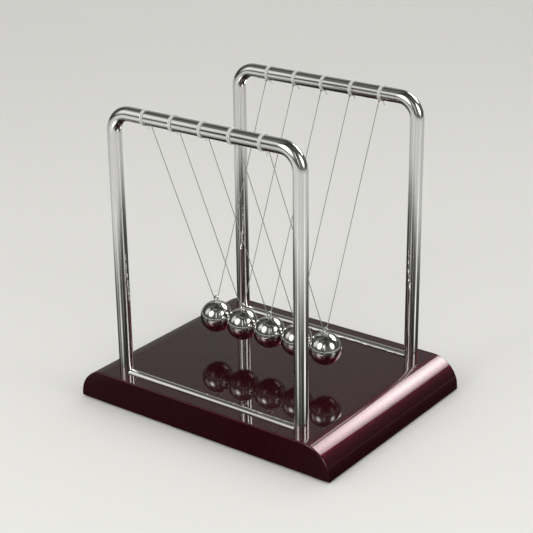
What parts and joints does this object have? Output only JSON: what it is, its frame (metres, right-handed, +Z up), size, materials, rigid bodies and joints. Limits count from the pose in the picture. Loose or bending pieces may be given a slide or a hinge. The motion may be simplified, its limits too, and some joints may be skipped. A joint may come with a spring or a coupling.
{
  "type": "newton's cradle",
  "caption": "Newton's cradle: a row of steel balls on V-shaped nylon lines between chromed arches, on a lacquered board with rounded ends.",
  "frame": {"origin": "middle of the underside, on the surface that the rubber feet stand on", "axes": "+X along the row of balls, +Y from the front arch to the rear arch, +Z up"},
  "size_m": [0.184, 0.141, 0.1889],
  "materials": {
    "lacquer": "high-gloss burgundy metallic lacquer on MDF",
    "chrome": "bright chrome plate",
    "polished_steel": "mirror-polished bearing steel",
    "nylon": "clear nylon monofilament",
    "rubber": "black matt",
    "zinc": "zinc-plated"
  },
  "bodies": {
    "stand": {"board": "lacquer", "rubber_feet": "rubber", "front_arch": "chrome", "rear_arch": "chrome", "front_sill_bar": "chrome", "rear_sill_bar": "chrome", "arch_screws": "zinc", "arch_washers": "zinc", "front_tie_1": "nylon", "front_tie_2": "nylon", "front_tie_3": "nylon", "front_tie_4": "nylon", "front_tie_5": "nylon", "rear_tie_1": "nylon", "rear_tie_2": "nylon", "rear_tie_3": "nylon", "rear_tie_4": "nylon", "rear_tie_5": "nylon"},
    "pendulum_1": {"ball_1": "polished_steel", "eyelet_1": "chrome", "line_1": "nylon"},
    "pendulum_2": {"ball_2": "polished_steel", "eyelet_2": "chrome", "line_2": "nylon"},
    "pendulum_3": {"ball_3": "polished_steel", "eyelet_3": "chrome", "line_3": "nylon"},
    "pendulum_4": {"ball_4": "polished_steel", "eyelet_4": "chrome", "line_4": "nylon"},
    "pendulum_5": {"ball_5": "polished_steel", "eyelet_5": "chrome", "line_5": "nylon"}
  },
  "joints": [
    {"name": "swing_1", "type": "hinge", "parent": "stand", "child": "pendulum_1", "pos_m": [-0.041, 0, 0.17987], "axis": [0, 1, 0], "range_deg": [0, 60]},
    {"name": "swing_2", "type": "hinge", "parent": "stand", "child": "pendulum_2", "pos_m": [-0.0205, 0, 0.17987], "axis": [0, 1, 0], "range_deg": [-0.1, 0.1]},
    {"name": "swing_3", "type": "hinge", "parent": "stand", "child": "pendulum_3", "pos_m": [0, 0, 0.17987], "axis": [0, 1, 0], "range_deg": [-0.1, 0.1]},
    {"name": "swing_4", "type": "hinge", "parent": "stand", "child": "pendulum_4", "pos_m": [0.0205, 0, 0.17987], "axis": [0, 1, 0], "range_deg": [-0.1, 0.1]},
    {"name": "swing_5", "type": "hinge", "parent": "stand", "child": "pendulum_5", "pos_m": [0.041, 0, 0.17987], "axis": [0, -1, 0], "range_deg": [0, 60]}
  ]
}
